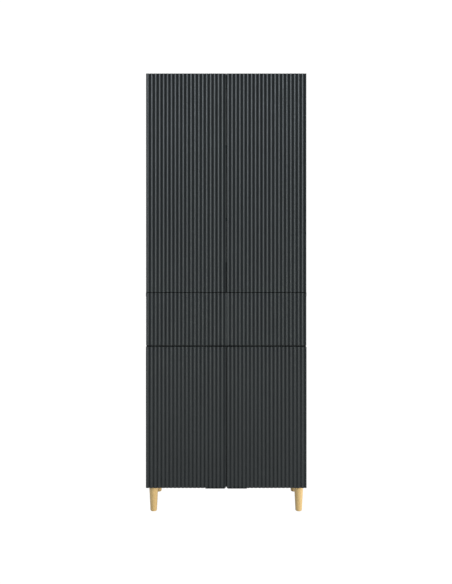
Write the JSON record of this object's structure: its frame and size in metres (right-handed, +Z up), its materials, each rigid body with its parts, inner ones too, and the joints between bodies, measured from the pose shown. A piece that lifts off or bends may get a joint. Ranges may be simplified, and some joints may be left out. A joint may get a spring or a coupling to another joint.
{
  "type": "tall cupboard wardrobe",
  "caption": "Tall two-module wardrobe cupboard with reeded fronts: tall doors over a wide drawer over a pair of lower doors, shelves inside, edge pulls, turned wooden legs.",
  "frame": {"origin": "middle of the footprint, on the floor", "axes": "+Z up, -Y out of the front (the doors and the drawer face -Y), +X to the viewer's right"},
  "size_m": [0.805, 0.4, 2.2],
  "materials": {
    "reeded_front": "satin anthracite foil over reeded fibreboard",
    "carcass": "satin anthracite laminate on particle board",
    "back_panel": "smooth white hardboard",
    "drawer_box": "grey foil-wrapped board",
    "beech": "clear satin lacquer on turned beech",
    "pull": "black powder coat on bent sheet",
    "steel": "nickel-plated steel"
  },
  "bodies": {
    "carcass": {"drawer_divider": "carcass", "leg_front_left": "beech", "leg_front_right": "beech", "leg_rear_left": "beech", "leg_rear_right": "beech", "lower_back": "back_panel", "lower_bottom": "carcass", "lower_hinge_arm_left_1": "steel", "lower_hinge_arm_left_2": "steel", "lower_hinge_arm_right_1": "steel", "lower_hinge_arm_right_2": "steel", "lower_partition": "carcass", "lower_shelf_left": "carcass", "lower_shelf_right": "carcass", "lower_side_left": "carcass", "lower_side_right": "carcass", "lower_top": "carcass", "runner_rail_left": "steel", "runner_rail_right": "steel", "upper_back": "back_panel", "upper_bottom": "carcass", "upper_hinge_arm_left_1": "steel", "upper_hinge_arm_left_2": "steel", "upper_hinge_arm_left_3": "steel", "upper_hinge_arm_right_1": "steel", "upper_hinge_arm_right_2": "steel", "upper_hinge_arm_right_3": "steel", "upper_shelf_higher": "carcass", "upper_shelf_lower": "carcass", "upper_side_left": "carcass", "upper_side_right": "carcass", "upper_top": "carcass"},
    "drawer": {"drawer_front": "reeded_front", "drawer_side_left": "drawer_box", "drawer_side_right": "drawer_box", "drawer_box_front": "drawer_box", "drawer_back": "drawer_box", "drawer_bottom": "drawer_box", "drawer_pull": "pull", "drawer_rail_left": "steel", "drawer_rail_right": "steel"},
    "upper_left_door": {"upper_door_left": "reeded_front", "upper_pull_left": "pull", "upper_hinge_cup_left_1": "steel", "upper_hinge_cup_left_2": "steel", "upper_hinge_cup_left_3": "steel"},
    "upper_right_door": {"upper_door_right": "reeded_front", "upper_pull_right": "pull", "upper_hinge_cup_right_1": "steel", "upper_hinge_cup_right_2": "steel", "upper_hinge_cup_right_3": "steel"},
    "lower_left_door": {"lower_door_left": "reeded_front", "lower_pull_left": "pull", "lower_hinge_cup_left_1": "steel", "lower_hinge_cup_left_2": "steel"},
    "lower_right_door": {"lower_door_right": "reeded_front", "lower_pull_right": "pull", "lower_hinge_cup_right_1": "steel", "lower_hinge_cup_right_2": "steel"}
  },
  "joints": [
    {"name": "upper_left_door_hinge", "type": "hinge", "parent": "carcass", "child": "upper_left_door", "pos_m": [-0.4, -0.198, 1.65275], "axis": [0, 0, -1], "range_deg": [0, 110]},
    {"name": "upper_right_door_hinge", "type": "hinge", "parent": "carcass", "child": "upper_right_door", "pos_m": [0.4, -0.198, 1.65275], "axis": [0, 0, 1], "range_deg": [0, 110]},
    {"name": "lower_left_door_hinge", "type": "hinge", "parent": "carcass", "child": "lower_left_door", "pos_m": [-0.401, -0.198, 0.4825], "axis": [0, 0, -1], "range_deg": [0, 110]},
    {"name": "lower_right_door_hinge", "type": "hinge", "parent": "carcass", "child": "lower_right_door", "pos_m": [0.401, -0.198, 0.4825], "axis": [0, 0, 1], "range_deg": [0, 110]},
    {"name": "drawer_slide", "type": "slide", "parent": "carcass", "child": "drawer", "axis": [0, -1, 0], "range_m": [0, 0.26]}
  ]
}
